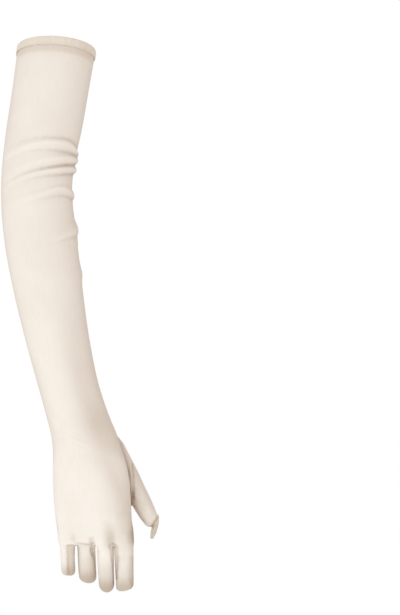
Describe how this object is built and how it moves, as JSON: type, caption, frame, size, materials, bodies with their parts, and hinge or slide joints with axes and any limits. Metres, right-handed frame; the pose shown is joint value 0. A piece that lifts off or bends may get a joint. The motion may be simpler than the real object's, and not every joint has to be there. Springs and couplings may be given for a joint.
{
  "type": "mesh glove",
  "caption": "Opera-length stretch mesh glove for a right hand, with a folded hem, set-in thumb and fourchettes, holding the form of the arm it is worn on.",
  "frame": {"origin": "centre of the arm opening at the hem", "axes": "the glove hangs down from the origin, fingers towards -Z; the back of the hand faces -Y and the palm +Y; the thumb is on the +X side"},
  "size_m": [0.1635, 0.1398, 0.5766],
  "materials": {
    "mesh_fabric": "fine nude stretch mesh",
    "fourchette_fabric": "fine nude stretch mesh, single strip",
    "hem_fabric": "folded nude stretch mesh"
  },
  "bodies": {
    "root": {"upper_sleeve_back": "mesh_fabric", "upper_sleeve_palm": "mesh_fabric", "forearm_back": "mesh_fabric", "forearm_palm": "mesh_fabric", "hand_back": "mesh_fabric", "hand_palm": "mesh_fabric", "thumb": "mesh_fabric", "fourchette_index_middle": "fourchette_fabric", "fourchette_middle_ring": "fourchette_fabric", "fourchette_ring_little": "fourchette_fabric", "hem": "hem_fabric"}
  },
  "joints": []
}
